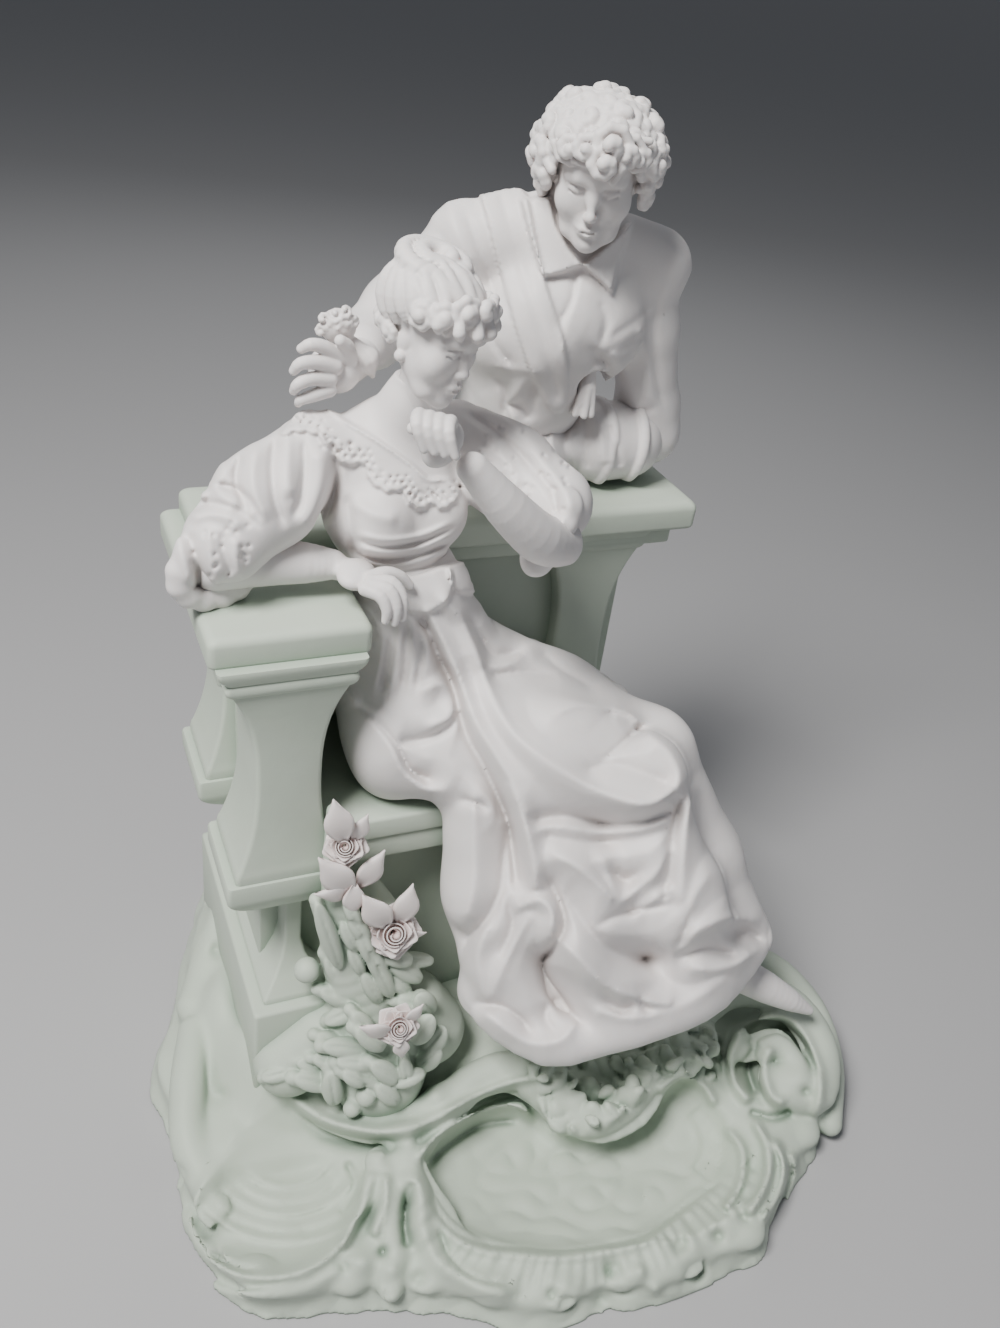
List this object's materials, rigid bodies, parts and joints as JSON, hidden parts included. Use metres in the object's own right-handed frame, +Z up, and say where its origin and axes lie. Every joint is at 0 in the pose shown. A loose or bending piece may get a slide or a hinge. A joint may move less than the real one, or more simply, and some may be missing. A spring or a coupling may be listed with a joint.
{
  "type": "figurine group",
  "caption": "Bisque porcelain group: a lady seated on a classical garden bench and a gentleman leaning over its back rail, on a scrolled base with applied roses.",
  "frame": {"origin": "on the flat underside of the base, below the middle of the group", "axes": "+X along the bench towards its open end, +Y from the lady's side to the back where the gentleman stands, +Z up"},
  "size_m": [0.2175, 0.2004, 0.2802],
  "materials": {
    "green_bisque": "unglazed bisque porcelain, pale sage green body, matt with a faint sheen",
    "white_bisque": "unglazed white bisque porcelain, matt with a faint sheen",
    "pink_bisque": "unglazed bisque porcelain, pinkish white, matt"
  },
  "bodies": {
    "root": {"base": "green_bisque", "bench": "green_bisque", "lady": "white_bisque", "gentleman": "white_bisque", "rose_top": "pink_bisque", "rose_middle": "pink_bisque", "rose_lower": "pink_bisque"}
  },
  "joints": []
}
